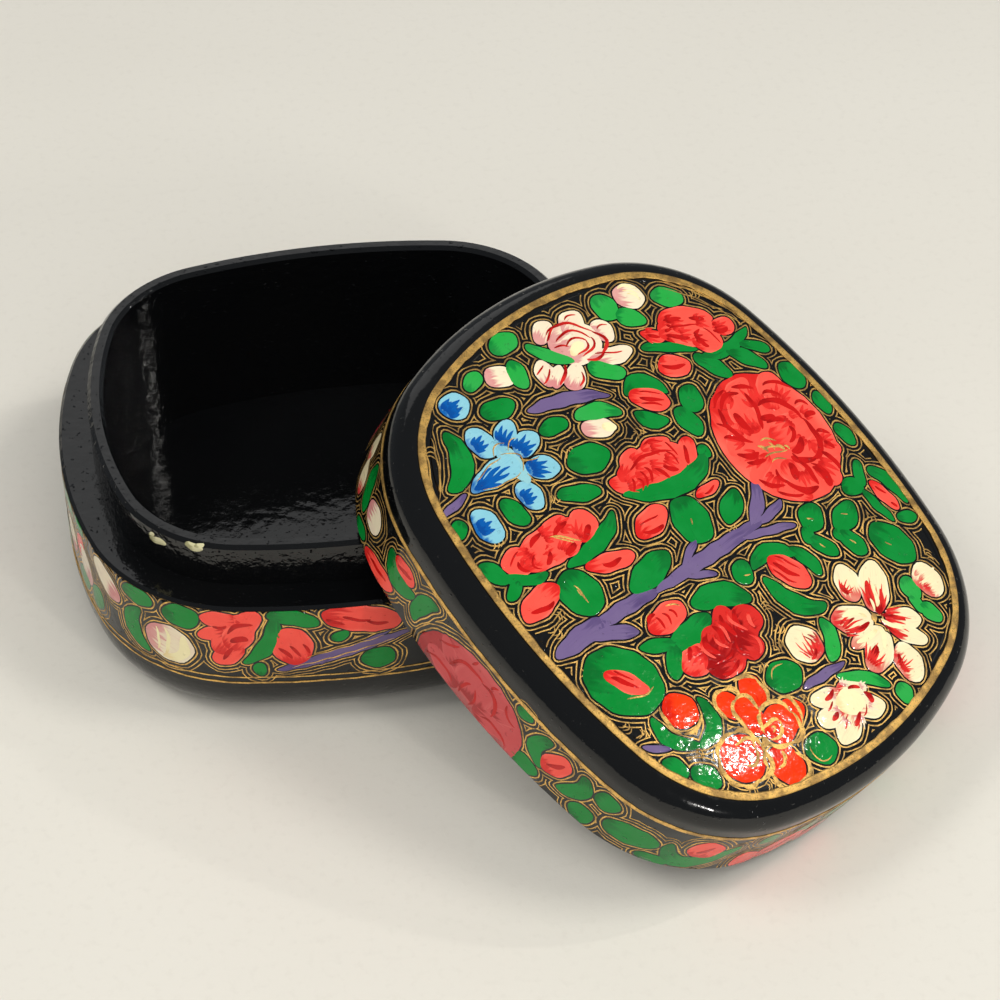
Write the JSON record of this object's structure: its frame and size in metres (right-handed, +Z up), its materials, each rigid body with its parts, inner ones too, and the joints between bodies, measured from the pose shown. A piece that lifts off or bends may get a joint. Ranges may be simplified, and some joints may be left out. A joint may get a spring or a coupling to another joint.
{
  "type": "lidded box",
  "caption": "Small papier mache box of rounded-square shape, lacquered black and painted with flowers, its lift-off lid leaning on the open base.",
  "frame": {"origin": "centre of the base's flat underside, on the floor", "axes": "+Z up, +X along the base's long side, the lid leaning out towards +X and -Y"},
  "size_m": [0.1125, 0.1062, 0.045],
  "materials": {
    "lacquered_base": "gloss",
    "lacquered_collar": "gloss",
    "lacquered_lid": "gloss"
  },
  "bodies": {
    "base": {"base_shell": "lacquered_base", "collar": "lacquered_collar"},
    "lid": {"lid_shell": "lacquered_lid"}
  },
  "joints": [
    {"name": "lid_lift", "type": "slide", "parent": "base", "child": "lid", "axis": [0, 0, 1], "range_m": [0, 0.06]}
  ]
}
